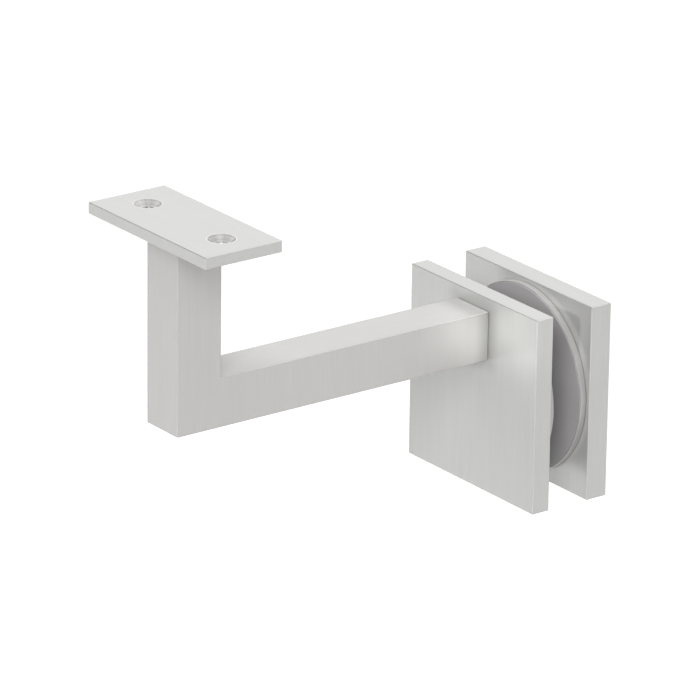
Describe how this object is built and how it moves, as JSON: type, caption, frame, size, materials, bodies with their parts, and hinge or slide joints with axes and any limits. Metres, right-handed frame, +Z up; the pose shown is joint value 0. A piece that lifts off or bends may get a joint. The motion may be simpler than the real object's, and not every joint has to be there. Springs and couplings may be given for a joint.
{
  "type": "glass mount bracket",
  "caption": "Handrail bracket for glass: a flat saddle on an L of square bar, carried by a pair of square plates that clamp a pane between round gasketed discs.",
  "frame": {"origin": "on the clamp screw's axis, in the middle of the glass", "axes": "+X along the rail, +Y along the clamp axis from the rail side through the glass, +Z up"},
  "size_m": [0.06, 0.1428, 0.102],
  "materials": {
    "satin_stainless": "fine brushed satin",
    "turned_stainless": "fine turned",
    "screw_stainless": "cold headed, tumbled",
    "gasket_rubber": "matte moulded",
    "bush_nylon": "natural nylon, turned"
  },
  "bodies": {
    "root": {"saddle_plate": "satin_stainless", "post_bar": "satin_stainless", "arm_bar": "satin_stainless", "front_plate": "satin_stainless", "rear_plate": "satin_stainless", "front_clamp_disc": "turned_stainless", "rear_clamp_disc": "turned_stainless", "arm_screw": "screw_stainless", "arm_pins": "screw_stainless", "clamp_screw": "screw_stainless", "front_gasket": "gasket_rubber", "rear_gasket": "gasket_rubber", "glass_bush": "bush_nylon"}
  },
  "joints": []
}
